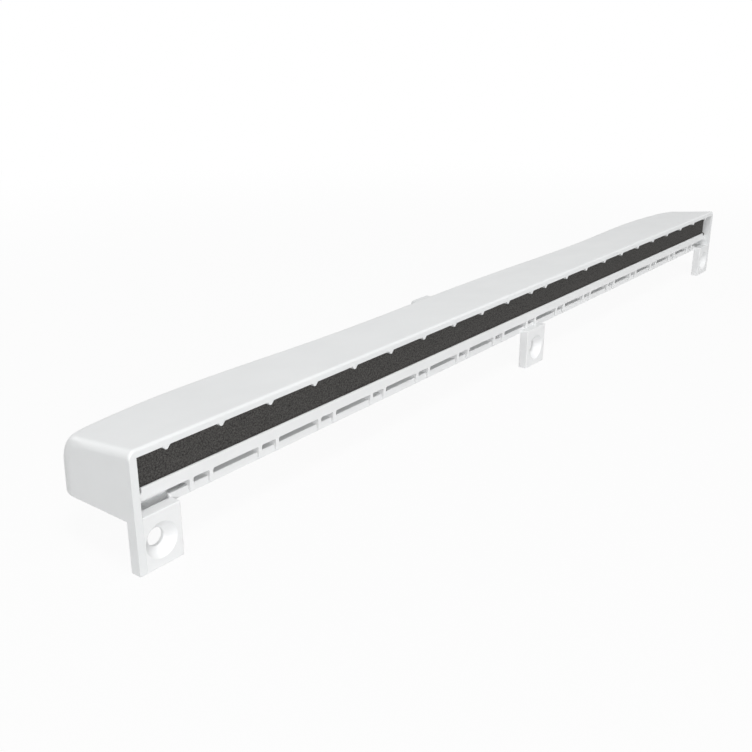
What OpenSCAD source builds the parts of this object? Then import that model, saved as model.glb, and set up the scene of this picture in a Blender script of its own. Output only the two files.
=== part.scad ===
// Window trickle vent: a moulded sash-top vent with a sliding shutter and acoustic foam.
// X runs along the vent, Y from the sash face into the room, Z up. The origin is the middle screw
// hole, where its axis meets the sash face that the three ears lie against.

/* [Cover] */
// Length over the end walls
vent_l = 350; // [300:1:420]
// Height of the near lip above the seat
body_h = 17.3; // [16.5:0.1:20]
// Wall thickness of the cover
wall = 2; // [1.6:0.1:2.2]
// Depth of the front from the sash face, at the middle of the vent
front_mid = 29.1; // [28:0.1:34]
// How far the front draws back between the middle and each shoulder
front_dip = 1.4; // [0.4:0.1:2]
// How far each shoulder stands forward of the middle
shoulder_rise = 0.8; // [0.2:0.1:1.6]
// Distance of each shoulder's crest from the end of the vent
shoulder_in = 40; // [34:1:46]
// Distance of each dip from the end of the vent
dip_in = 100; // [85:1:115]
// Plan radius from each shoulder towards the end
shoulder_r = 167; // [150:1:220]
// Plan radius of the two front corners
corner_r = 8; // [7:0.5:9]
// Radius between the top and the front
brow_r = 8; // [7:0.5:9]
// Radius between the top and each end
end_fillet = 2; // [1:0.1:3]
// Radius along the top of the near lip
lip_r = 0.7; // [0.4:0.1:1]
// Fall of the top towards the room, in degrees
top_fall = 6.7; // [5:0.1:7.5]
// Draft of the front face, in degrees
front_draft = 2.5; // [1:0.1:3]

/* [Teeth on the lip] */
// Distance between teeth
tooth_pitch = 16; // [12:0.5:24]
// Gap between the two middle teeth
tooth_mid_gap = 10; // [8:0.5:16]
// Width of a tooth at its root
tooth_w = 2.1; // [1.5:0.1:3]
// Height of a tooth
tooth_h = 0.9; // [0.6:0.1:1.2]

/* [Screw ears] */
// Width of an ear
ear_w = 12.5; // [11.5:0.1:15]
// Thickness of an ear
ear_t = 3; // [2.6:0.1:4]
// From the screw line up to the top of an ear
ear_rise = 7.2; // [7:0.1:7.6]
// From the screw line down to the end of an ear
ear_drop = 6.4; // [5.5:0.1:9]
// Diameter of the screw holes
hole_d = 4.4; // [3.6:0.1:5]
// Diameter of the countersinks
csk_d = 8.8; // [7.6:0.1:9]
// Distance of the end holes from the end of the vent
hole_in = 6.6; // [6.6:0.1:8]

/* [Base] */
// From the screw line up to the seat on the sash
seat_rise = 6.1; // [5.6:0.1:6.3]
// Thickness of the floor
floor_t = 2; // [1.8:0.1:2.6]
// Distance from the end of the vent to the floor's near edge, which stops short of the end ears
ledge_in = 12; // [10:0.1:14]
// Thickness of that edge where the pocket runs on behind it
ledge_t = 1; // [0.8:0.1:1.8]
// Distance from the end of the vent to the inner side of the pocket behind an end ear
pocket_in = 18; // [16:0.1:24]
// Depth of that pocket into the floor, front to back
pocket_run = 3.5; // [2.5:0.5:8]
// Thickness of the floor under that pocket
pocket_t = 0.7; // [0.6:0.1:0.9]
// Width of a guide post behind the shutter
post_w = 6; // [4:0.5:8]
// Thickness of a guide post
post_t = 1.6; // [1.2:0.1:2]
// Width of the tongues that hold the cover
tongue_w = 12; // [8:0.5:18]
// Thickness of the tongues
tongue_t = 0.9; // [0.7:0.1:1.1]
// Reach of the tongues into the front wall
tongue_run = 0.9; // [0.6:0.1:1.1]
// Distance between the tongues
tongue_pitch = 88; // [60:1:90]

/* [Foam tray] */
// Height of the air slots under the rail
slot_h = 1.7; // [1.2:0.1:2.2]
// Thickness of the shelf
shelf_t = 1.7; // [1.4:0.1:2]
// Height of the rail above the shelf
rail_h = 1.3; // [0.9:0.1:1.8]
// Thickness of the rail
rail_t = 0.8; // [0.7:0.1:1.2]
// How far the rail and the legs stand in front of the floor's edge
rail_out = 0.7; // [0.5:0.1:1.2]
// Gap between each end of the rail and the end wall
rail_end_gap = 2.2; // [1:0.1:4]
// Depth of the tray, front to back
tray_d = 18; // [14:0.5:19]
// Distance between pairs of legs
leg_pitch = 22; // [18:0.5:30]
// Distance between the two legs of a pair, middle to middle
leg_gap = 6; // [4:0.1:8]
// Thickness of a leg
leg_t = 1.1; // [0.8:0.1:1.4]
// How far the legs reach down over the floor's edge
leg_over = 1.3; // [0.8:0.1:1.6]

/* [Shutter] */
// Distance between ports
port_pitch = 22; // [21.5:0.5:28]
// Width of a port
port_w = 10; // [7:0.5:10.5]
// Width of the strip above and below the ports
port_edge = 0.6; // [0.5:0.1:1]
// Travel from open to closed
travel = 11; // [10.5:0.1:12]
// Thickness of the shutter
shutter_t = 1.5; // [1.2:0.1:1.8]
// Spare length of the shutter past the last closed port
shutter_over = 2; // [1:0.1:3]

/* [Finger tab] */
// Place of the tab along the vent with the shutter open
tab_x = -22; // [-25:0.5:-10]
// Width of the tab
tab_w = 10; // [8:0.5:14]
// Height of the tab
tab_h = 4.2; // [3.6:0.1:5]
// Thickness of the tab
tab_t = 2.8; // [2:0.1:4]
// Width of the stem through the window
stem_w = 6; // [5:0.1:7]
// Thickness of the stem
stem_t = 2; // [1.6:0.1:2.2]
// Height of the stem above the start of the brow
stem_up = 2.2; // [1.9:0.1:2.3]
// Height of the tab's top above the stem
tab_brim = 0.9; // [0.5:0.1:1.2]
// Radius of the tab's corners
tab_r = 1; // [0.6:0.1:1.4]
// Width of the three grip ridges
ridge_w = 0.8; // [0.6:0.1:1]
// Height of the grip ridges
ridge_h = 0.4; // [0.2:0.1:0.6]
// Thickness of the shutter's lug that holds the stem
lug_t = 1.5; // [1.2:0.1:2]

/* [Fits] */
// Gap between moulded pieces that clip together
fit_gap = 0.15; // [0.1:0.01:0.2]
// Gap on each side of the sliding shutter
slide_gap = 0.2; // [0.15:0.01:0.25]
// Gap between the stem and its window
window_gap = 0.3; // [0.2:0.05:0.5]

/* [Hidden] */

eps = 0.01;
past = 1;
half_l = vent_l / 2;
near_y = -ear_t;
seat_z = seat_rise;
lip_z = seat_z + body_h;
floor_z = seat_z + floor_t;

// Front outline in plan, from the middle to one end
dip_x = half_l - dip_in;
crest_x = half_l - shoulder_in;
dip_y = front_mid - front_dip;
crest_y = front_mid + shoulder_rise;
corner_x = half_l - corner_r;
shoulder_cy = crest_y - shoulder_r;
corner_y = shoulder_cy + sqrt(pow(shoulder_r - corner_r, 2) - pow(corner_x - crest_x, 2));
shoulder_turn = asin((corner_x - crest_x) / (shoulder_r - corner_r));
wave_steps = 10;
shoulder_steps = 4;
corner_steps = 9;
brow_steps = 9;
lip_steps = 3;

// Inside of the cover: a straight front face that the shutter lies against
slope = tan(top_fall);
lean = tan(front_draft);
inner_half = half_l - wall;
inner_front = dip_y - lean * body_h / 2 - wall;
inner_brow_r = brow_r - wall;
inner_corner_r = corner_r;
inner_top_z = lip_z - wall;
inner_brow_y = inner_front - inner_brow_r;
inner_brow_z = inner_top_z - slope * (inner_brow_y - near_y) - inner_brow_r / cos(top_fall);

// Foam tray
rail_z = floor_z + slot_h;
shelf_z = rail_z + shelf_t;
tray_near = -rail_out;
tray_far = tray_near + tray_d;
leg_pairs_side = floor((half_l - ear_w - leg_gap / 2 - leg_t) / leg_pitch);

// Teeth
teeth_side = floor((inner_half - tooth_w - tooth_mid_gap / 2) / tooth_pitch) + 1;

// Shutter: open at rest, closed when it has moved by its travel towards +X
shutter_front = inner_front - slide_gap;
shutter_back = shutter_front - shutter_t;
shutter_low = floor_z + slide_gap;
shutter_top = inner_brow_z + 2 * slide_gap;
port_z = (shutter_low + shutter_top) / 2;
port_h = shutter_top - shutter_low - 2 * port_edge;
shutter_room = inner_half - inner_corner_r;
ports_side = floor((shutter_room - port_w / 2 - 2 * travel - shutter_over) / port_pitch + 0.5);
last_port_x = (ports_side - 0.5) * port_pitch;
shutter_half = last_port_x + port_w / 2 + travel + shutter_over;
post_pitch = 2 * port_pitch;
post_top = shutter_top - slide_gap;
posts_side = floor(last_port_x / post_pitch);

// Finger tab: its stem runs through the brow and is pegged into a lug on the shutter
stem_z = inner_brow_z + stem_up;
stem_y = shutter_back + fit_gap;
lug_w = stem_w + 2;
lug_low = port_z;
lug_top = stem_z + stem_t / 2 + tab_brim / 2;
peg_w = stem_w / 2;
peg_t = stem_t / 2;
tab_back = front_mid + slide_gap;
tab_top = stem_z + stem_t / 2 + tab_brim;

function wave(t) = (1 - cos(180 * t)) / 2;

// Points of one half of the front outline, [x, y] at the seat, from the middle to the end wall
half_front = concat(
    [for (i = [0 : wave_steps - 1])
        let (t = i / wave_steps) [dip_x * t, front_mid - front_dip * wave(t)]],
    [for (i = [0 : wave_steps - 1])
        let (t = i / wave_steps)
        [dip_x + (crest_x - dip_x) * t, dip_y + (crest_y - dip_y) * wave(t)]],
    [for (i = [0 : shoulder_steps])
        let (a = shoulder_turn * i / shoulder_steps)
        [crest_x + shoulder_r * sin(a), shoulder_cy + shoulder_r * cos(a)]],
    [for (i = [1 : corner_steps])
        let (a = (90 - shoulder_turn) * (1 - i / corner_steps))
        [corner_x + corner_r * cos(a), corner_y + corner_r * sin(a)]]);

last_half = len(half_front) - 1;
front_line = concat(
    [for (i = [last_half : -1 : 1]) [-half_front[i][0], half_front[i][1]]],
    half_front);

// Drop of the top where it rounds over into an end wall
function end_drop(x) =
    let (in = end_fillet - (half_l - abs(x)))
    in > 0 ? end_fillet - sqrt(max(0, pow(end_fillet, 2) - pow(in, 2))) : 0;

// Section of the cover's outside at one place along the front line, as [x, y, z] points:
// near edge from the seat, the rounded lip, the fall of the top, the brow and the front's foot
function outer_section(p) =
    let (top = lip_z - end_drop(p[0]))
    let (cy = (p[1] - lean * (top + slope * near_y - brow_r / cos(top_fall) - seat_z)
               - brow_r / cos(front_draft)) / (1 - slope * lean))
    let (cz = top - slope * (cy - near_y) - brow_r / cos(top_fall))
    let (lip_cz = top - lip_r * (slope + 1 / cos(top_fall)))
    concat(
        [[p[0], near_y, seat_z]],
        [for (i = [0 : lip_steps])
            let (a = 180 - (90 + top_fall) * i / lip_steps)
            [p[0], near_y + lip_r + lip_r * cos(a), lip_cz + lip_r * sin(a)]],
        [for (i = [0 : brow_steps])
            let (a = 90 - top_fall - (90 - top_fall - front_draft) * i / brow_steps)
            [p[0], cy + brow_r * cos(a), cz + brow_r * sin(a)]],
        [[p[0], p[1], seat_z]]);

module outer_form() {
    sections = [for (p = front_line) outer_section(p)];
    n = len(sections[0]);
    count = len(sections);
    skin = [for (i = [0 : count - 2], j = [0 : n - 1])
        let (k = (j + 1) % n)
        [i * n + j, i * n + k, (i + 1) * n + k, (i + 1) * n + j]];
    triangles = [for (q = skin, h = [0, 1]) h == 0 ? [q[0], q[1], q[2]] : [q[0], q[2], q[3]]];
    low_cap = [for (j = [n - 1 : -1 : 0]) j];
    high_cap = [for (j = [0 : n - 1]) (count - 1) * n + j];
    polyhedron(points = [for (s = sections, p = s) p],
               faces = concat([low_cap], triangles, [high_cap]));
}

// Prism along X of a shape drawn in [y, z], from -half to +half
module along_x(half) {
    translate([-half, 0, 0])
        rotate([90, 0, 90])
            linear_extrude(2 * half)
                children();
}

// Box from one corner to the opposite one
module span(low, high) {
    translate(low)
        cube(high - low);
}

// Plan of the cover's inside, or of a piece that fits it with a gap all round
module inner_plan(gap, back) {
    r = inner_corner_r - gap;
    hx = inner_half - gap;
    fy = inner_front - gap;
    translate([-hx, back])
        square([2 * hx, fy - r - back]);
    translate([-hx + r, back])
        square([2 * (hx - r), fy - back]);
    for (s = [-1, 1])
        translate([s * (hx - r), fy - r])
            circle(r, $fn = 48);
}

// Side view of the cover's inside, from behind the near face to the front
module inner_side() {
    back = near_y - past;
    low = seat_z - past;
    tangent = [inner_brow_y + inner_brow_r * sin(top_fall), inner_brow_z + inner_brow_r * cos(top_fall)];
    polygon([[back, low], [inner_front, low], [inner_front, inner_brow_z], tangent,
             [back, inner_top_z + slope * past]]);
    translate([inner_brow_y, inner_brow_z])
        circle(inner_brow_r, $fn = 64);
}

module cavity() {
    intersection() {
        along_x(inner_half)
            inner_side();
        translate([0, 0, seat_z - past])
            linear_extrude(body_h + 2 * past)
                inner_plan(0, near_y - past);
    }
}

// Bar with round ends, w by h in the XZ plane, from y0 to y1
module round_bar(x, z, w, h, y0, y1) {
    translate([x, y1, z])
        rotate([90, 0, 0])
            linear_extrude(y1 - y0) {
                square([w - h, h], center = true);
                for (s = [-1, 1])
                    translate([s * (w - h) / 2, 0])
                        circle(h / 2, $fn = 32);
            }
}

module ports(y0, y1) {
    for (k = [1 - ports_side : ports_side])
        round_bar((k - 0.5) * port_pitch, port_z, port_w, port_h, y0, y1);
}

// Window that the stem of the finger tab runs in
module tab_window() {
    w = stem_w + travel + 2 * window_gap;
    h = stem_t + 2 * window_gap;
    round_bar(tab_x + travel / 2, stem_z, w, h, inner_brow_y, crest_y + past);
}

// Tongues along the front of the floor, or the grooves that take them
module tongues(gap, run) {
    for (k = [-1.5 : 1.5])
        translate([k * tongue_pitch, inner_front - past, seat_z + floor_t / 2])
            translate([-tongue_w / 2 - gap, 0, -tongue_t / 2 - gap])
                cube([tongue_w + 2 * gap, past + run, tongue_t + 2 * gap]);
}

module teeth() {
    for (s = [-1, 1], k = [0 : teeth_side - 1])
        translate([s * (tooth_mid_gap / 2 + k * tooth_pitch), tray_near, inner_top_z])
            rotate([90, 0, 0])
                linear_extrude(tray_near - near_y)
                    polygon([[-tooth_w / 2, 0], [0, -tooth_h], [tooth_w / 2, 0],
                             [tooth_w / 4, wall / 2], [-tooth_w / 4, wall / 2]]);
}

// Legs of the end walls down the outer side of the end ears
module end_legs() {
    for (s = [-1, 1])
        translate([s * (half_l - wall / 2), near_y / 2, (seat_z + wall - ear_drop) / 2])
            cube([wall, ear_t, seat_z + wall + ear_drop], center = true);
}

module cover() {
    color("whitesmoke") {
        difference() {
            outer_form();
            cavity();
            ports(inner_brow_y, crest_y + past);
            tab_window();
            tongues(fit_gap, tongue_run + fit_gap);
        }
        teeth();
        end_legs();
    }
}

// Ear with its root under the floor's edge; the hole is countersunk from the near side
module ear(x, x0, x1) {
    csk_run = (csk_d - hole_d) / 2;
    difference() {
        union() {
            span([x0, near_y, -ear_drop], [x1, 0, ear_rise]);
            span([x0, -eps, seat_z], [x1, past, seat_z + pocket_t]);
        }
        translate([x, past, 0])
            rotate([90, 0, 0])
                cylinder(h = ear_t + 2 * past, d = hole_d, $fn = 48);
        translate([x, near_y + csk_run, 0])
            rotate([90, 0, 0])
                cylinder(h = csk_run + eps, d1 = hole_d, d2 = csk_d + 2 * eps, $fn = 64);
    }
}

// Floor with a pocket behind each end ear, which runs on behind the floor's near edge
module floor_plate() {
    difference() {
        translate([0, 0, seat_z])
            linear_extrude(floor_t)
                inner_plan(fit_gap, 0);
        for (s = [-1, 1])
            translate([s * half_l, 0, seat_z + pocket_t]) {
                span([-pocket_in, ledge_t, 0], [pocket_in, pocket_run, floor_t]);
                span([-ledge_in, -past, 0], [ledge_in, pocket_run, floor_t]);
            }
    }
}

module guide_posts() {
    for (s = [-1, 1], k = [1 : posts_side])
        translate([s * k * post_pitch - post_w / 2,
                   shutter_back - slide_gap - post_t, floor_z - eps])
            cube([post_w, post_t, post_top - floor_z]);
}

module base_frame() {
    color("white") {
        floor_plate();
        tongues(0, tongue_run);
        guide_posts();
        ear(0, -ear_w / 2, ear_w / 2);
        ear(half_l - hole_in, half_l - ear_w, inner_half - fit_gap);
        ear(hole_in - half_l, fit_gap - inner_half, ear_w - half_l);
    }
}

// Legs of the foam tray: on the floor, and down over its edge, the middle pair as far as the ear
module tray_legs() {
    for (k = [-leg_pairs_side : leg_pairs_side], s = [-1, 1]) {
        x0 = k * leg_pitch + s * leg_gap / 2 - leg_t / 2;
        foot = k == 0 ? max(ear_rise, floor_z - leg_over) : floor_z - leg_over;
        span([x0, tray_near, floor_z], [x0 + leg_t, tray_far - 2 * rail_t, rail_z + eps]);
        span([x0, tray_near, foot], [x0 + leg_t, -fit_gap, rail_z + eps]);
    }
}

module foam_tray() {
    hx = inner_half - fit_gap;
    rail_x = inner_half - rail_end_gap;
    color("white") {
        span([-hx, tray_near, rail_z], [hx, tray_far, shelf_z]);
        for (y = [tray_near, tray_far - rail_t])
            span([-rail_x, y, shelf_z - eps], [rail_x, y + rail_t, shelf_z + rail_h]);
        tray_legs();
    }
}

// Strip between the rails, with ends that swell into the gaps past the near rail
module foam_strip() {
    y0 = tray_near + rail_t + fit_gap;
    y1 = tray_far - rail_t - fit_gap;
    top = inner_top_z - fit_gap + slope * near_y;
    end_w = rail_end_gap - 2 * fit_gap;
    color("dimgray") {
        along_x(inner_half - fit_gap)
            polygon([[y0, shelf_z], [y1, shelf_z], [y1, top - slope * y1], [y0, top - slope * y0]]);
        for (s = [-1, 1])
            translate([s * (inner_half - rail_end_gap / 2) - end_w / 2, tray_near + fit_gap, shelf_z])
                cube([end_w, rail_t + eps, rail_h]);
    }
}

module shutter() {
    color("gainsboro") {
        difference() {
            span([-shutter_half, shutter_back, shutter_low], [shutter_half, shutter_front, shutter_top]);
            ports(shutter_back - past, shutter_front + past);
        }
        difference() {
            span([tab_x - lug_w / 2, shutter_back - lug_t, lug_low],
                 [tab_x + lug_w / 2, shutter_back + eps, lug_top]);
            span([tab_x - peg_w / 2 - fit_gap, shutter_back - lug_t - past, stem_z - peg_t / 2 - fit_gap],
                 [tab_x + peg_w / 2 + fit_gap, shutter_back + past, stem_z + peg_t / 2 + fit_gap]);
        }
    }
}

// Pad outside the front wall with three grip ridges, its stem and the peg into the shutter's lug
module finger_tab() {
    color("whitesmoke") {
        translate([tab_x, tab_back + tab_t, tab_top - tab_h / 2])
            rotate([90, 0, 0])
                linear_extrude(tab_t) {
                    square([tab_w - 2 * tab_r, tab_h], center = true);
                    square([tab_w, tab_h - 2 * tab_r], center = true);
                    for (sx = [-1, 1], sz = [-1, 1])
                        translate([sx * (tab_w / 2 - tab_r), sz * (tab_h / 2 - tab_r)])
                            circle(tab_r, $fn = 32);
                }
        for (k = [-1 : 1])
            translate([tab_x + (3 * k - 0.5) * ridge_w, tab_back + tab_t - eps, tab_top - tab_h + tab_r])
                cube([ridge_w, ridge_h + eps, tab_h - 2 * tab_r]);
        round_bar(tab_x, stem_z, stem_w, stem_t, stem_y, tab_back + eps);
        span([tab_x - peg_w / 2, shutter_back - lug_t, stem_z - peg_t / 2],
             [tab_x + peg_w / 2, stem_y + eps, stem_z + peg_t / 2]);
    }
}

cover();
base_frame();
foam_tray();
foam_strip();
shutter();
finger_tab();
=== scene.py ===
import math

import bmesh
import bpy
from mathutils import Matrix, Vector


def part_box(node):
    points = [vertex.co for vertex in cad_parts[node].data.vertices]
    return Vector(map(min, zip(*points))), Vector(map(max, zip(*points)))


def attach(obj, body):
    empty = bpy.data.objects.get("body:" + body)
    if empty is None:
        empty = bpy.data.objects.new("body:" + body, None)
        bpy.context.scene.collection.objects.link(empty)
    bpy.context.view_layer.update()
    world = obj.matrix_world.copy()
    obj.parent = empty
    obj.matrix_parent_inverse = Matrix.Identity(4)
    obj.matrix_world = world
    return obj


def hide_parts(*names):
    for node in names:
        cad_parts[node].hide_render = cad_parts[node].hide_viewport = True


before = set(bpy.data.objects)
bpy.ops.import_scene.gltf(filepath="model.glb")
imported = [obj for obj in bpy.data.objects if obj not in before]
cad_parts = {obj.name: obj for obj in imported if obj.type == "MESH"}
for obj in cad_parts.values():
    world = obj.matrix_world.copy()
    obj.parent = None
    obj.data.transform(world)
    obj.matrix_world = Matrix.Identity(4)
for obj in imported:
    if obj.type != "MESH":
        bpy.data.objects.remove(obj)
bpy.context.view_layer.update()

# Sizes of the vent, in millimetres. The frame gives the boxes of the pieces, and the rest repeats the
# driving dimensions of the solids.
MM = 0.001
BODY_H, WALL = 17.3, 2.0
FRONT_MID, FRONT_DIP, SHOULDER_RISE = 29.1, 1.4, 0.8
SHOULDER_IN, DIP_IN, SHOULDER_R = 40.0, 100.0, 167.0
CORNER_R, BROW_R, END_FILLET, LIP_R = 8.0, 8.0, 2.0, 0.7
TOP_FALL, FRONT_DRAFT = math.radians(6.7), math.radians(2.5)
TOOTH_PITCH, TOOTH_MID_GAP, TOOTH_W, TOOTH_H = 16.0, 10.0, 2.1, 0.9
EAR_W, EAR_RISE = 12.5, 7.2
HOLE_D, CSK_D, HOLE_IN = 4.4, 8.8, 6.6
SEAT_Z, FLOOR_T = 6.1, 2.0
LEDGE_IN, LEDGE_T = 12.0, 1.0
POCKET_IN, POCKET_RUN, POCKET_T = 18.0, 3.5, 0.7
POST_W, POST_T = 6.0, 1.6
TONGUE_W, TONGUE_T, TONGUE_RUN, TONGUE_PITCH = 12.0, 0.9, 0.9, 88.0
SLOT_H, SHELF_T, RAIL_H, RAIL_T, RAIL_END_GAP = 1.7, 1.7, 1.3, 0.8, 2.2
LEG_PITCH, LEG_GAP, LEG_T, LEG_OVER = 22.0, 6.0, 1.1, 1.3
PORT_PITCH, PORT_W, PORT_EDGE, TRAVEL = 22.0, 10.0, 0.6, 11.0
SHUTTER_T, LUG_SIDE = 1.5, 1.0
STEM_W, STEM_T, STEM_UP = 6.0, 2.0, 2.2
RIDGE_W, RIDGE_H, TAB_R = 0.8, 0.4, 1.0
FIT_GAP, SLIDE_GAP, WINDOW_GAP = 0.15, 0.2, 0.3

# Small edge radii that the eye reads as moulded plastic and cut foam
COVER_EDGE = 0.3
EAR_EDGE = 0.25
FINE_EDGE = 0.2
PORT_ROUND = 0.3
SEAM_EDGE = 0.05
TAB_EDGE, TAB_FINE_EDGE = 0.35, 0.12
FOAM_EDGE, FOAM_END_EDGE = 0.6, 0.3
LEG_FLARE = 0.5

# Gap between an end ear and the cover's leg beside it, how far a cutting shape runs past the piece,
# the turn from which an edge counts as sharp, and how close two places count as one
SEAM_GAP = 0.04
PAST = 1.0
SHARP = math.radians(40)
CLOSE = 0.01

# How far a joined shape reaches into its neighbour: most of them, the tray's legs, the thin ones, and
# the tongues and foam ends
ROOT, LEG_ROOT, THIN_ROOT, LONG_ROOT = 0.5, 0.4, 0.2, 1.0


def box_mm(node):
    """A CAD node's lowest and highest corners, in millimetres."""
    low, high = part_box(node)
    return low / MM, high / MM


cover_low, cover_high = box_mm("cover")
tray_low, tray_high = box_mm("foam_tray")
foam_low, foam_high = box_mm("foam_strip")
shutter_low, shutter_high = box_mm("shutter")
tab_low, tab_high = box_mm("finger_tab")

HALF_L = cover_high.x
NEAR_Y = cover_low.y
LIP_Z = SEAT_Z + BODY_H
FOOT_Z = cover_low.z
FLOOR_Z = SEAT_Z + FLOOR_T
SLOPE, LEAN = math.tan(TOP_FALL), math.tan(FRONT_DRAFT)
DIP_X, CREST_X = HALF_L - DIP_IN, HALF_L - SHOULDER_IN
DIP_Y, CREST_Y = FRONT_MID - FRONT_DIP, FRONT_MID + SHOULDER_RISE
CORNER_X = HALF_L - CORNER_R
SHOULDER_CY = CREST_Y - SHOULDER_R
SHOULDER_TURN = math.asin((CORNER_X - CREST_X) / (SHOULDER_R - CORNER_R))
CORNER_Y = SHOULDER_CY + (SHOULDER_R - CORNER_R) * math.cos(SHOULDER_TURN)
TANGENT_X = CREST_X + SHOULDER_R * math.sin(SHOULDER_TURN)
INNER_HALF = HALF_L - WALL
INNER_FRONT = DIP_Y - LEAN * (LIP_Z - SEAT_Z) / 2 - WALL
INNER_TOP = LIP_Z - WALL
INNER_BROW_R = BROW_R - WALL
INNER_BROW_Y = INNER_FRONT - INNER_BROW_R
INNER_BROW_Z = INNER_TOP - SLOPE * (INNER_BROW_Y - NEAR_Y) - INNER_BROW_R / math.cos(TOP_FALL)
STEM_Z = INNER_BROW_Z + STEM_UP
PLATE_TOP = INNER_BROW_Z + 2 * SLIDE_GAP
PORT_Z = (shutter_low.z + PLATE_TOP) / 2
PORT_H = PLATE_TOP - shutter_low.z - 2 * PORT_EDGE
TAB_X = (tab_low.x + tab_high.x) / 2
PORTS_SIDE = round((shutter_high.x - PORT_W / 2 - TRAVEL) / PORT_PITCH)


# Mesh tools

def new_object(name, bm):
    """A piece from a bmesh drawn in millimetres."""
    bmesh.ops.recalc_face_normals(bm, faces=bm.faces)
    bmesh.ops.scale(bm, vec=(MM, MM, MM), verts=bm.verts)
    mesh = bpy.data.meshes.new(name)
    bm.to_mesh(mesh)
    bm.free()
    piece = bpy.data.objects.new(name, mesh)
    bpy.context.scene.collection.objects.link(piece)
    return piece


def spread(low, high, count):
    """Evenly spaced values from low to high, both included."""
    return [low + (high - low) * i / count for i in range(count + 1)]


def arc(centre, radius, start, end, count):
    """Points on an arc, angles in radians."""
    return [(centre[0] + radius * math.cos(a), centre[1] + radius * math.sin(a))
            for a in spread(start, end, count)]


def loft(bm, sections):
    """Skin through closed sections of equal length, with a face over each end."""
    rings = [[bm.verts.new(p) for p in section] for section in sections]
    count = len(rings[0])
    for low, high in zip(rings, rings[1:]):
        for j in range(count):
            k = (j + 1) % count
            bm.faces.new((low[j], low[k], high[k], high[j]))
    bm.faces.new(rings[0])
    bm.faces.new(rings[-1])


def prism(bm, outline, low, high, place):
    """Solid between two copies of an outline; place turns outline points and a height into x, y, z."""
    loft(bm, [[place(p, h) for p in outline] for h in (low, high)])


def along_x(p, h):
    return (h, p[0], p[1])


def along_y(p, h):
    return (p[0], h, p[1])


def along_z(p, h):
    return (p[0], p[1], h)


def block(bm, low, high):
    """Box between two corners."""
    outline = [(low[0], low[1]), (high[0], low[1]), (high[0], high[1]), (low[0], high[1])]
    prism(bm, outline, low[2], high[2], along_z)


def stadium(x, z, width, height, steps=10):
    """Outline of a slot with round ends."""
    r = height / 2
    reach = width / 2 - r
    return (arc((x + reach, z), r, -math.pi / 2, math.pi / 2, steps)
            + arc((x - reach, z), r, math.pi / 2, 3 * math.pi / 2, steps))


def cut(piece, tool, operation="DIFFERENCE"):
    """Applies a boolean with another object, which is used up."""
    step = piece.modifiers.new("cut", "BOOLEAN")
    step.operation = operation
    step.solver = "EXACT"
    step.object = tool
    bake_modifiers(piece)
    bpy.data.objects.remove(tool)


def bake_modifiers(piece):
    """Replaces a piece's mesh by what its modifiers make of it."""
    graph = bpy.context.evaluated_depsgraph_get()
    graph.update()
    made = bpy.data.meshes.new_from_object(piece.evaluated_get(graph))
    piece.modifiers.clear()
    old = piece.data
    piece.data = made
    bpy.data.meshes.remove(old)
    made.name = piece.name


def on_seam(edge):
    """Whether an edge lies where an ear and an end wall stand side by side."""
    return all(abs(abs(v.co.x) - INNER_HALF * MM) < 1.2 * FIT_GAP * MM for v in edge.verts)


def off_seam(edge):
    return not on_seam(edge)


def has_room(edge, width):
    """Whether the edges that meet an edge are long enough for a rounding of that width."""
    return all(e.calc_length() > width * MM for v in edge.verts for e in v.link_edges)


def soften(piece, width, segments=3, chosen=None):
    """Rounds the sharp outer edges, so that they catch the light."""
    bm = bmesh.new()
    bm.from_mesh(piece.data)
    bmesh.ops.remove_doubles(bm, verts=bm.verts, dist=CLOSE * MM)
    bmesh.ops.dissolve_limit(bm, angle_limit=math.radians(0.05), verts=bm.verts, edges=bm.edges)
    edges = [e for e in bm.edges
             if len(e.link_faces) == 2 and e.is_convex and e.calc_face_angle() > SHARP
             and (chosen is None or chosen(e))]
    bmesh.ops.bevel(bm, geom=edges, offset=width * MM, segments=segments, profile=0.5,
                    affect="EDGES", clamp_overlap=True)
    bm.to_mesh(piece.data)
    bm.free()


def shade(piece):
    """Smooth shading that keeps flat faces flat."""
    piece.data.shade_smooth()
    piece.data.set_sharp_from_angle(angle=SHARP)
    weighted = piece.modifiers.new("flat faces stay flat", "WEIGHTED_NORMAL")
    weighted.keep_sharp = True


def dress(piece, material, body, slot, *nodes):
    """Finish of a piece: material, the body that it rides on and the nodes it stands for; the slot
    argument is not used.
    """
    piece.data.materials.clear()
    piece.data.materials.append(material)
    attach(piece, body)
    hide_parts(*nodes)


# Materials

def node_material(name):
    material = bpy.data.materials.new(name)
    material.use_nodes = True
    tree = material.node_tree
    return material, tree, tree.nodes["Principled BSDF"]


def noise(tree, scale, detail=2.0, roughness=0.5):
    """Noise over the object's own coordinates; scale counts features per metre."""
    coords = tree.nodes.new("ShaderNodeTexCoord")
    texture = tree.nodes.new("ShaderNodeTexNoise")
    texture.inputs["Scale"].default_value = scale
    texture.inputs["Detail"].default_value = detail
    texture.inputs["Roughness"].default_value = roughness
    tree.links.new(coords.outputs["Object"], texture.inputs["Vector"])
    return texture.outputs["Fac"]


def between(tree, value, low, high):
    """Maps a noise value to a range."""
    span = tree.nodes.new("ShaderNodeMapRange")
    span.inputs["From Min"].default_value = 0.3
    span.inputs["From Max"].default_value = 0.7
    span.inputs["To Min"].default_value = low
    span.inputs["To Max"].default_value = high
    tree.links.new(value, span.inputs["Value"])
    return span.outputs["Result"]


def two_tone(tree, value, dark, pale):
    """Colour between two tones by a noise value."""
    ramp = tree.nodes.new("ShaderNodeValToRGB")
    ramp.color_ramp.elements[0].position = 0.3
    ramp.color_ramp.elements[0].color = (*dark, 1)
    ramp.color_ramp.elements[1].position = 0.7
    ramp.color_ramp.elements[1].color = (*pale, 1)
    tree.links.new(value, ramp.inputs["Fac"])
    return ramp.outputs["Color"]


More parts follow.
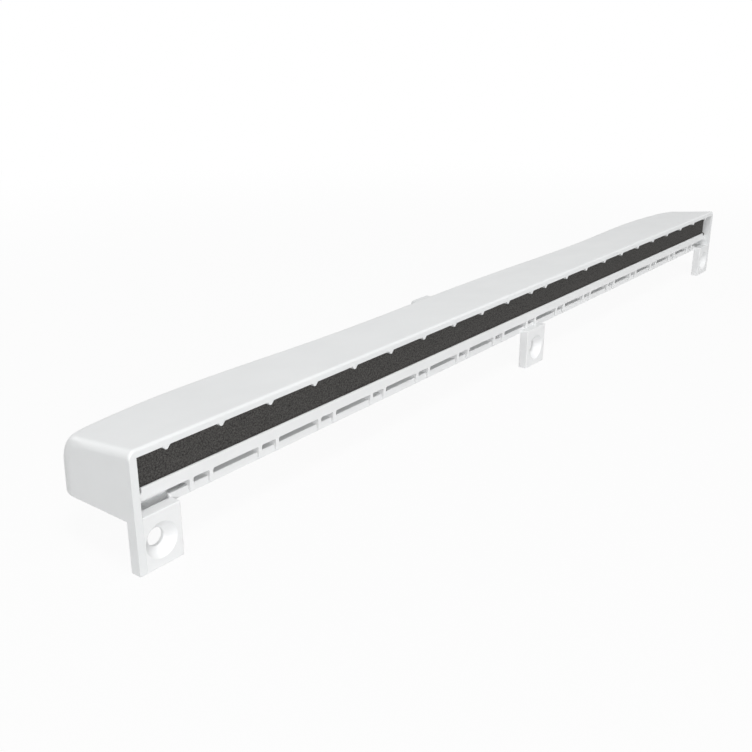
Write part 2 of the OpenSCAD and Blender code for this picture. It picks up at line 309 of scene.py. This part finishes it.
def bump(tree, value, strength, height):
    relief = tree.nodes.new("ShaderNodeBump")
    relief.inputs["Strength"].default_value = strength
    relief.inputs["Distance"].default_value = height
    tree.links.new(value, relief.inputs["Height"])
    return relief.outputs["Normal"]


def moulded_plastic(name, tone, gloss):
    """Satin white plastic: faint cloudiness, uneven gloss and the fine grain of the mould."""
    material, tree, shader = node_material(name)
    dark = [c * 0.975 for c in tone]
    tree.links.new(two_tone(tree, noise(tree, 45), dark, tone), shader.inputs["Base Color"])
    sheen = between(tree, noise(tree, 160, 3), gloss - 0.05, gloss + 0.05)
    tree.links.new(sheen, shader.inputs["Roughness"])
    tree.links.new(bump(tree, noise(tree, 5200, 2), 0.12, 0.02 * MM), shader.inputs["Normal"])
    shader.inputs["IOR"].default_value = 1.5
    return material


def open_cell_foam(name):
    """Dark grey foam: pores of about half a millimetre under a finer grain."""
    material, tree, shader = node_material(name)
    coords = tree.nodes.new("ShaderNodeTexCoord")
    cells = tree.nodes.new("ShaderNodeTexVoronoi")
    cells.feature = "F1"
    cells.inputs["Scale"].default_value = 2200
    tree.links.new(coords.outputs["Object"], cells.inputs["Vector"])
    grain = noise(tree, 3500, 4, 0.65)
    mixed = tree.nodes.new("ShaderNodeMath")
    mixed.operation = "MULTIPLY_ADD"
    mixed.inputs[1].default_value = 0.45
    tree.links.new(cells.outputs["Distance"], mixed.inputs[0])
    tree.links.new(grain, mixed.inputs[2])
    tone = tree.nodes.new("ShaderNodeValToRGB")
    tone.color_ramp.elements[0].position = 0.45
    tone.color_ramp.elements[0].color = (0.121, 0.117, 0.112, 1)
    tone.color_ramp.elements[1].position = 0.95
    tone.color_ramp.elements[1].color = (0.031, 0.030, 0.029, 1)
    tree.links.new(mixed.outputs["Value"], tone.inputs["Fac"])
    tree.links.new(tone.outputs["Color"], shader.inputs["Base Color"])
    tree.links.new(bump(tree, mixed.outputs["Value"], 0.5, -0.25 * MM), shader.inputs["Normal"])
    shader.inputs["Roughness"].default_value = 0.95
    shader.inputs["Specular IOR Level"].default_value = 0.15
    return material


COVER_WHITE = moulded_plastic("cover plastic", (0.80, 0.812, 0.815), 0.42)
BASE_WHITE = moulded_plastic("base plastic", (0.83, 0.837, 0.84), 0.45)
SHUTTER_WHITE = moulded_plastic("shutter plastic", (0.77, 0.78, 0.785), 0.5)
FOAM_GREY = open_cell_foam("acoustic foam")


# Cover

def front_y(x):
    """Front outline at the seat: waved in the middle, then round the shoulder and the corner."""
    u = abs(x)
    if u < DIP_X:
        return FRONT_MID - FRONT_DIP * (1 - math.cos(math.pi * u / DIP_X)) / 2
    if u < CREST_X:
        t = (u - DIP_X) / (CREST_X - DIP_X)
        return DIP_Y + (CREST_Y - DIP_Y) * (1 - math.cos(math.pi * t)) / 2
    if u < TANGENT_X:
        return SHOULDER_CY + math.sqrt(SHOULDER_R ** 2 - (u - CREST_X) ** 2)
    return CORNER_Y + math.sqrt(max(0.0, CORNER_R ** 2 - (u - CORNER_X) ** 2))


def end_drop(x):
    """How far the top has rounded down into the end wall."""
    inside = END_FILLET - (HALF_L - abs(x))
    if inside <= 0:
        return 0.0
    return END_FILLET - math.sqrt(max(0.0, END_FILLET ** 2 - inside ** 2))


def brow_centre(x):
    """Centre of the arc between the sloping top and the front at x."""
    top = LIP_Z - end_drop(x)
    rise = top + SLOPE * NEAR_Y - BROW_R / math.cos(TOP_FALL) - SEAT_Z
    cy = (front_y(x) - LEAN * rise - BROW_R / math.cos(FRONT_DRAFT)) / (1 - SLOPE * LEAN)
    return cy, top - SLOPE * (cy - NEAR_Y) - BROW_R / math.cos(TOP_FALL)


def wall_y(x, z):
    """Outside of the front wall and the brow above it."""
    cy, cz = brow_centre(x)
    if z > cz + BROW_R * math.sin(FRONT_DRAFT):
        return cy + math.sqrt(BROW_R ** 2 - (z - cz) ** 2)
    return front_y(x) - LEAN * (z - SEAT_Z)


def outer_section(x):
    """Outside of the cover at x: near face, rounded lip, sloping top, brow and front."""
    top = LIP_Z - end_drop(x)
    foot = front_y(x)
    cy, cz = brow_centre(x)
    lip_z = top - LIP_R * (SLOPE + 1 / math.cos(TOP_FALL))
    lip = arc((NEAR_Y + LIP_R, lip_z), LIP_R, math.pi, math.pi / 2 - TOP_FALL, 5)
    brow = arc((cy, cz), BROW_R, math.pi / 2 - TOP_FALL, FRONT_DRAFT, 16)
    outline = [(NEAR_Y, SEAT_Z)] + lip + brow + [(foot, SEAT_Z)]
    return [along_x(p, x) for p in outline]


def outer_stations():
    """Places along the vent, close together where the ends and corners turn."""
    plain = spread(0, CREST_X, 30) + spread(CREST_X, TANGENT_X, 8)
    corner = [CORNER_X + CORNER_R * math.cos(a) for a in spread(0, math.pi / 2 - SHOULDER_TURN, 14)]
    half = []
    for x in sorted(plain + corner):
        if not half or x - half[-1] > 0.02:
            half.append(x)
    return [-x for x in half[:0:-1]] + half


def inner_section(x):
    """Inside of the cover at x, run past the near face and the seat so that it cuts clean."""
    turn = max(0.0, abs(x) - (INNER_HALF - CORNER_R))
    foot = INNER_FRONT - CORNER_R + math.sqrt(max(0.0, CORNER_R ** 2 - turn ** 2))
    cy = foot - INNER_BROW_R
    cz = INNER_TOP - SLOPE * (cy - NEAR_Y) - INNER_BROW_R / math.cos(TOP_FALL)
    brow = arc((cy, cz), INNER_BROW_R, math.pi / 2 - TOP_FALL, 0, 12)
    outline = ([(NEAR_Y - PAST, SEAT_Z - PAST), (NEAR_Y - PAST, INNER_TOP + SLOPE * PAST)]
               + brow + [(foot, SEAT_Z - PAST)])
    return [along_x(p, x) for p in outline]


def inner_stations():
    turn = [INNER_HALF - CORNER_R * (1 - math.sin(a)) for a in spread(0, math.pi / 2, 10)]
    half = [0.0] + turn
    return [-x for x in half[:0:-1]] + half


def tool(name, draw):
    """A cutting or joining shape drawn by a function into a bmesh."""
    bm = bmesh.new()
    draw(bm)
    return new_object(name, bm)


def port_places():
    """Middle of each port along the vent."""
    return [(k - 0.5) * PORT_PITCH for k in range(1 - PORTS_SIDE, PORTS_SIDE + 1)]


def draw_ports(bm, y0, y1):
    for x in port_places():
        prism(bm, stadium(x, PORT_Z, PORT_W, PORT_H), y0, y1, along_y)


def draw_opening(bm, x, z, width, height):
    """Opening with round ends through the front wall, its outer edge rounded."""
    sections = [[along_y(p, INNER_BROW_Y) for p in stadium(x, z, width, height)]]
    steep = math.radians(70)
    rings = [(1 - math.cos(a), 1 - math.sin(a)) for a in spread(0, steep, 4)]
    rings.append((rings[-1][0] + math.sin(steep), rings[-1][1] - math.cos(steep)))
    for grown, depth in rings:
        outline = stadium(x, z, width + 2 * PORT_ROUND * grown, height + 2 * PORT_ROUND * grown)
        sections.append([along_y(p, wall_y(*p) - PORT_ROUND * depth) for p in outline])
    sections.append([(px, py + PAST, pz) for px, py, pz in sections[-1]])
    loft(bm, sections)


def draw_outlets(bm):
    for x in port_places():
        draw_opening(bm, x, PORT_Z, PORT_W, PORT_H)


def draw_window(bm):
    width = STEM_W + TRAVEL + 2 * WINDOW_GAP
    draw_opening(bm, TAB_X + TRAVEL / 2, STEM_Z, width, STEM_T + 2 * WINDOW_GAP)


def draw_teeth(bm):
    """V teeth under the lip, with a blunt tip and their roots inside the lip."""
    side = math.floor((INNER_HALF - TOOTH_W - TOOTH_MID_GAP / 2) / TOOTH_PITCH) + 1
    root = INNER_TOP + WALL / 4
    blunt = 0.12 * TOOTH_W
    tip = INNER_TOP - TOOTH_H
    for sign in (-1, 1):
        for k in range(side):
            x = sign * (TOOTH_MID_GAP / 2 + k * TOOTH_PITCH)
            outline = [(x - TOOTH_W / 2, root), (x - TOOTH_W / 2, INNER_TOP), (x - blunt, tip),
                       (x + blunt, tip), (x + TOOTH_W / 2, INNER_TOP), (x + TOOTH_W / 2, root)]
            prism(bm, outline, NEAR_Y + 0.05, tray_low.y, along_y)


def draw_legs(bm):
    for sign in (-1, 1):
        inner, outer = sorted((sign * INNER_HALF, sign * HALF_L))
        block(bm, (inner, NEAR_Y, FOOT_Z), (outer, 0, SEAT_Z + WALL))


def inner_foot(edge):
    """Whether an edge runs along the inside of the cover's foot, close beside the floor."""
    return all(abs(v.co.z - SEAT_Z * MM) < CLOSE * MM and abs(v.co.x) < (HALF_L - WALL / 2) * MM
               and front_y(v.co.x / MM) - v.co.y / MM > WALL / 2 for v in edge.verts)


def can_round(edge, width):
    """Whether an edge of the cover takes a rounding: its inner foot stays plain."""
    return not inner_foot(edge) and has_room(edge, width)


def make_cover():
    cover = tool("cover_shell", lambda bm: loft(bm, [outer_section(x) for x in outer_stations()]))
    cut(cover, tool("hollow", lambda bm: loft(bm, [inner_section(x) for x in inner_stations()])))
    cut(cover, tool("legs", draw_legs), "UNION")
    soften(cover, COVER_EDGE, chosen=lambda e: off_seam(e) and can_round(e, COVER_EDGE))
    soften(cover, SEAM_EDGE, chosen=lambda e: on_seam(e) and can_round(e, SEAM_EDGE))
    cut(cover, tool("outlets", draw_outlets))
    cut(cover, tool("window", draw_window))
    cut(cover, tool("teeth", draw_teeth), "UNION")
    shade(cover)
    dress(cover, COVER_WHITE, "body", "cover_white", "cover")


# Base

def inner_plan(gap, back):
    """Plan of a piece that fits the cover's inside with a gap all round."""
    r = CORNER_R - gap
    hx, fy = INNER_HALF - gap, INNER_FRONT - gap
    return ([(-hx, back), (hx, back)]
            + arc((hx - r, fy - r), r, 0, math.pi / 2, 10)
            + arc((r - hx, fy - r), r, math.pi / 2, math.pi, 10))


def behind_ear(edge):
    """Whether an edge is the back of an ear's top, which drops into the pocket."""
    return all(abs(v.co.y) < CLOSE * MM and abs(v.co.z - EAR_RISE * MM) < CLOSE * MM
               for v in edge.verts)


def draw_hole(bm, x):
    """Screw hole with its countersink on the near side."""
    sink = (CSK_D - HOLE_D) / 2
    past = 0.5
    steps = 48
    rings = [(CSK_D / 2 + past, NEAR_Y - past), (HOLE_D / 2, NEAR_Y + sink), (HOLE_D / 2, past)]
    loft(bm, [[(x + r * math.cos(a), y, r * math.sin(a))
               for a in spread(0, 2 * math.pi * (1 - 1 / steps), steps - 1)] for r, y in rings])


def make_base():
    ears = [(-EAR_W / 2, EAR_W / 2, 0.0),
            (HALF_L - EAR_W, INNER_HALF - SEAM_GAP, HALF_L - HOLE_IN),
            (SEAM_GAP - INNER_HALF, EAR_W - HALF_L, HOLE_IN - HALF_L)]
    base = tool("base_floor", lambda bm: prism(bm, inner_plan(FIT_GAP, 0), SEAT_Z, FLOOR_Z, along_z))
    for inner, near in ((POCKET_IN, LEDGE_T), (LEDGE_IN, -PAST)):
        for sign in (-1, 1):
            x0, x1 = sorted((sign * (HALF_L - inner), sign * (HALF_L + PAST)))
            pocket = (x0, near, SEAT_Z + POCKET_T), (x1, POCKET_RUN, FLOOR_Z + PAST)
            cut(base, tool("pocket", lambda bm: block(bm, *pocket)))
    for x0, x1, _ in ears:
        cut(base, tool("ear", lambda bm: block(bm, (x0, NEAR_Y, FOOT_Z), (x1, 0, EAR_RISE))), "UNION")
    soften(base, EAR_EDGE, chosen=lambda e: off_seam(e) and not behind_ear(e))
    soften(base, SEAM_EDGE, chosen=lambda e: on_seam(e) or behind_ear(e))
    for _, _, hole in ears:
        cut(base, tool("hole", lambda bm: draw_hole(bm, hole)))
    cut(base, tool("posts", draw_posts), "UNION")
    cut(base, tool("tongues", draw_tongues), "UNION")
    shade(base)
    dress(base, BASE_WHITE, "body", "base_white", "base_frame")


def draw_posts(bm):
    """Guide posts behind the shutter."""
    back = shutter_high.y - SHUTTER_T - SLIDE_GAP
    for k in (-2, -1, 1, 2):
        x = 2 * k * PORT_PITCH
        block(bm, (x - POST_W / 2, back - POST_T, FLOOR_Z - ROOT),
              (x + POST_W / 2, back, PLATE_TOP - SLIDE_GAP))


def draw_tongues(bm):
    """Tongues along the floor's front edge that hold the cover."""
    middle = SEAT_Z + FLOOR_T / 2
    for k in (-1.5, -0.5, 0.5, 1.5):
        x = k * TONGUE_PITCH
        block(bm, (x - TONGUE_W / 2, INNER_FRONT - LONG_ROOT, middle - TONGUE_T / 2),
              (x + TONGUE_W / 2, INNER_FRONT + TONGUE_RUN, middle + TONGUE_T / 2))


# Foam tray and foam

def rail_outline(near, shelf_z, top, low):
    """Section of the tray: shelf with a rail along each edge, the rails' tops rounded."""
    far = tray_high.y
    r = 0.45 * RAIL_T
    near_rail = (arc((near + r, top - r), r, math.pi, math.pi / 2, 5)
                 + arc((near + RAIL_T - r, top - r), r, math.pi / 2, 0, 5))
    far_rail = (arc((far - RAIL_T + r, top - r), r, math.pi, math.pi / 2, 5)
                + arc((far - r, top - r), r, math.pi / 2, 0, 5))
    return ([(near, low)] + near_rail + [(near + RAIL_T, shelf_z), (far - RAIL_T, shelf_z)]
            + far_rail + [(far, low)])


def leg_places():
    """Middle of each leg along the vent and the height of its foot."""
    pairs = math.floor((HALF_L - EAR_W - LEG_GAP / 2 - LEG_T) / LEG_PITCH)
    foot = FLOOR_Z - LEG_OVER
    return [(k * LEG_PITCH + sign * LEG_GAP / 2, foot if k else max(foot, EAR_RISE))
            for k in range(-pairs, pairs + 1) for sign in (-1, 1)]


def draw_inner_legs(bm, rail_z):
    """Legs that stand on the floor."""
    for x, _ in leg_places():
        block(bm, (x - LEG_T / 2, -0.5 * FIT_GAP, FLOOR_Z),
              (x + LEG_T / 2, tray_high.y - 2 * RAIL_T, rail_z + LEG_ROOT))


def draw_outer_legs(bm, near, rail_z):
    """Bars down over the floor's edge that flare into the rail."""
    for x, foot in leg_places():
        x0, x1 = x - LEG_T / 2, x + LEG_T / 2
        bar = ([(x0, foot), (x1, foot)]
               + arc((x1 + LEG_FLARE, rail_z - LEG_FLARE), LEG_FLARE, math.pi, math.pi / 2, 5)
               + [(x1 + LEG_FLARE, rail_z + LEG_ROOT), (x0 - LEG_FLARE, rail_z + LEG_ROOT)]
               + arc((x0 - LEG_FLARE, rail_z - LEG_FLARE), LEG_FLARE, math.pi / 2, 0, 5))
        prism(bm, bar, near, -FIT_GAP, along_y)


def make_tray():
    near, half = tray_low.y, tray_high.x
    rail_z = FLOOR_Z + SLOT_H
    shelf_z = rail_z + SHELF_T
    rail_half = INNER_HALF - RAIL_END_GAP
    outline = rail_outline(near, shelf_z, tray_high.z, rail_z)
    tray = tool("tray_rail", lambda bm: prism(bm, outline, -rail_half, rail_half, along_x))
    shelf = (-half, near, rail_z), (half, tray_high.y, shelf_z)
    cut(tray, tool("shelf", lambda bm: block(bm, *shelf)), "UNION")
    cut(tray, tool("inner_legs", lambda bm: draw_inner_legs(bm, rail_z)), "UNION")
    cut(tray, tool("outer_legs", lambda bm: draw_outer_legs(bm, near, rail_z)), "UNION")
    soften(tray, FINE_EDGE)
    shade(tray)
    dress(tray, BASE_WHITE, "body", "base_white", "foam_tray")


def draw_foam_ends(bm, near):
    """Ends of the foam that swell into the gaps past the near rail."""
    for sign in (-1, 1):
        x0, x1 = sorted((sign * (INNER_HALF - RAIL_END_GAP + FIT_GAP), sign * foam_high.x))
        block(bm, (x0, foam_low.y, foam_low.z), (x1, near + LONG_ROOT, foam_low.z + RAIL_H))


def make_foam():
    near, far = tray_low.y + RAIL_T + FIT_GAP, foam_high.y
    top = foam_high.z
    back = top - SLOPE * (far - near)
    outline = [(near, foam_low.z), (far, foam_low.z), (far, back), (near, top)]
    foam = tool("foam_block", lambda bm: prism(bm, outline, foam_low.x, foam_high.x, along_x))
    soften(foam, FOAM_EDGE)
    ends = tool("foam_ends", lambda bm: draw_foam_ends(bm, near))
    soften(ends, FOAM_END_EDGE)
    cut(foam, ends, "UNION")
    shade(foam)
    dress(foam, FOAM_GREY, "body", "foam_grey", "foam_strip")


# Shutter and finger tab

def make_shutter():
    front = shutter_high.y
    back = front - SHUTTER_T
    plate = (shutter_low.x, back, shutter_low.z), (shutter_high.x, front, PLATE_TOP)
    shutter = tool("shutter_plate", lambda bm: block(bm, *plate))
    cut(shutter, tool("shutter_ports", lambda bm: draw_ports(bm, back - PAST, front + PAST)))
    lug_half = STEM_W / 2 + LUG_SIDE
    lug = (TAB_X - lug_half, shutter_low.y, PORT_Z), (TAB_X + lug_half, back + THIN_ROOT, shutter_high.z)
    cut(shutter, tool("lug", lambda bm: block(bm, *lug)), "UNION")
    peg_x, peg_z = STEM_W / 4 + FIT_GAP, STEM_T / 4 + FIT_GAP
    hole = (TAB_X - peg_x, shutter_low.y - PAST, STEM_Z - peg_z), (TAB_X + peg_x, front, STEM_Z + peg_z)
    cut(shutter, tool("peg_hole", lambda bm: block(bm, *hole)))
    soften(shutter, FINE_EDGE)
    shade(shutter)
    dress(shutter, SHUTTER_WHITE, "shutter", "shutter_white", "shutter")


def draw_ridges(bm, face):
    """Three grip ridges on the tab."""
    for k in (-1, 0, 1):
        x = TAB_X + 3 * k * RIDGE_W
        block(bm, (x - RIDGE_W / 2, face - THIN_ROOT, tab_low.z + TAB_R),
              (x + RIDGE_W / 2, tab_high.y, tab_high.z - TAB_R))


def make_tab():
    face = tab_high.y - RIDGE_H
    back = FRONT_MID + SLIDE_GAP
    low, high, r = tab_low.z, tab_high.z, TAB_R
    pad_outline = (arc((tab_high.x - r, high - r), r, 0, math.pi / 2, 6)
                   + arc((tab_low.x + r, high - r), r, math.pi / 2, math.pi, 6)
                   + arc((tab_low.x + r, low + r), r, math.pi, 3 * math.pi / 2, 6)
                   + arc((tab_high.x - r, low + r), r, 3 * math.pi / 2, 2 * math.pi, 6))
    tab = tool("tab_pad", lambda bm: prism(bm, pad_outline, back, face, along_y))
    soften(tab, TAB_EDGE)
    cut(tab, tool("ridges", lambda bm: draw_ridges(bm, face)), "UNION")
    stem = stadium(TAB_X, STEM_Z, STEM_W, STEM_T)
    stem_y = shutter_high.y - SHUTTER_T + FIT_GAP
    cut(tab, tool("stem", lambda bm: prism(bm, stem, stem_y, back + ROOT, along_y)), "UNION")
    peg_x, peg_z = STEM_W / 4, STEM_T / 4
    peg = (TAB_X - peg_x, tab_low.y, STEM_Z - peg_z), (TAB_X + peg_x, stem_y + ROOT, STEM_Z + peg_z)
    cut(tab, tool("peg", lambda bm: block(bm, *peg)), "UNION")
    soften(tab, TAB_FINE_EDGE)
    shade(tab)
    dress(tab, COVER_WHITE, "shutter", "cover_white", "finger_tab")


make_cover()
make_base()
make_tray()
make_foam()
make_shutter()
make_tab()


# Studio: white floor and surroundings, soft light, and the camera at the photograph's angle

def seen_directly(tree):
    """1 for rays from the camera, from gloss and through glass, and 0 for light that falls on things."""
    path = tree.nodes.new("ShaderNodeLightPath")
    either = path.outputs["Is Camera Ray"]
    for name in ("Is Glossy Ray", "Is Transmission Ray"):
        larger = tree.nodes.new("ShaderNodeMath")
        larger.operation = "MAXIMUM"
        tree.links.new(either, larger.inputs[0])
        tree.links.new(path.outputs[name], larger.inputs[1])
        either = larger.outputs["Value"]
    return either


def make_floor():
    """White floor that takes a faint shadow close to the vent and glows evenly further out."""
    size, drop = 4000.0, 0.05
    fade_start, fade_end, near_share = 0.15, 0.6, 0.94
    floor = tool("floor", lambda bm: bm.faces.new([bm.verts.new((x * size, y * size, FOOT_Z - drop))
                                                   for x, y in ((-1, -1), (1, -1), (1, 1), (-1, 1))]))
    material = bpy.data.materials.new("white floor")
    material.use_nodes = True
    tree = material.node_tree
    tree.nodes.clear()
    matt = tree.nodes.new("ShaderNodeBsdfDiffuse")
    matt.inputs["Color"].default_value = (0.65, 0.65, 0.65, 1)
    glow = tree.nodes.new("ShaderNodeEmission")
    coords = tree.nodes.new("ShaderNodeTexCoord")
    distance = tree.nodes.new("ShaderNodeVectorMath")
    distance.operation = "LENGTH"
    tree.links.new(coords.outputs["Object"], distance.inputs[0])
    fade = tree.nodes.new("ShaderNodeMapRange")
    fade.interpolation_type = "SMOOTHSTEP"
    fade.inputs["From Min"].default_value = fade_start
    fade.inputs["From Max"].default_value = fade_end
    fade.inputs["To Min"].default_value = near_share
    fade.inputs["To Max"].default_value = 1.0
    tree.links.new(distance.outputs["Value"], fade.inputs["Value"])
    share = tree.nodes.new("ShaderNodeMath")
    share.operation = "MULTIPLY"
    tree.links.new(fade.outputs["Result"], share.inputs[1])
    mix = tree.nodes.new("ShaderNodeMixShader")
    out = tree.nodes.new("ShaderNodeOutputMaterial")
    tree.links.new(seen_directly(tree), share.inputs[0])
    tree.links.new(share.outputs["Value"], mix.inputs["Fac"])
    tree.links.new(matt.outputs["BSDF"], mix.inputs[1])
    tree.links.new(glow.outputs["Emission"], mix.inputs[2])
    tree.links.new(mix.outputs["Shader"], out.inputs["Surface"])
    floor.data.materials.append(material)


def make_world(strength):
    world = bpy.data.worlds.new("white room")
    bpy.context.scene.world = world
    world.use_nodes = True
    tree = world.node_tree
    light = tree.nodes["Background"]
    light.inputs["Color"].default_value = (1, 1, 1, 1)
    level = tree.nodes.new("ShaderNodeMapRange")
    level.inputs["To Min"].default_value = strength
    level.inputs["To Max"].default_value = 1.0
    tree.links.new(seen_directly(tree), level.inputs["Value"])
    tree.links.new(level.outputs["Result"], light.inputs["Strength"])


def area_lamp(name, place, aim, size, power):
    lamp = bpy.data.lights.new(name, "AREA")
    lamp.shape = "DISK"
    lamp.size = size
    lamp.energy = power
    holder = bpy.data.objects.new(name, lamp)
    holder.location = place
    holder.rotation_euler = (Vector(aim) - Vector(place)).to_track_quat("-Z", "Y").to_euler()
    bpy.context.scene.collection.objects.link(holder)


def make_camera():
    place = Vector((-280.28, -148.76, 103.61)) * MM
    look = Vector((0.7419, 0.5746, -0.3457))
    lens = bpy.data.cameras.new("camera")
    lens.lens = 44.38
    lens.sensor_width = 36.0
    lens.clip_start = 0.01
    camera = bpy.data.objects.new("camera", lens)
    camera.location = place
    camera.rotation_euler = look.to_track_quat("-Z", "Y").to_euler()
    bpy.context.scene.collection.objects.link(camera)
    bpy.context.scene.camera = camera


make_floor()
make_world(0.34)
area_lamp("overhead", (-0.25, -0.25, 0.75), (0, 0, 0), 0.3, 3.15)
area_lamp("room side", (-0.15, 0.95, 0.3), (0, 0, 0), 0.5, 1.25)
area_lamp("front left", (-1.26, -1.55, 0.48), (0, 0, 0), 0.6, 19.5)
make_camera()
bpy.context.scene.view_settings.view_transform = "Standard"
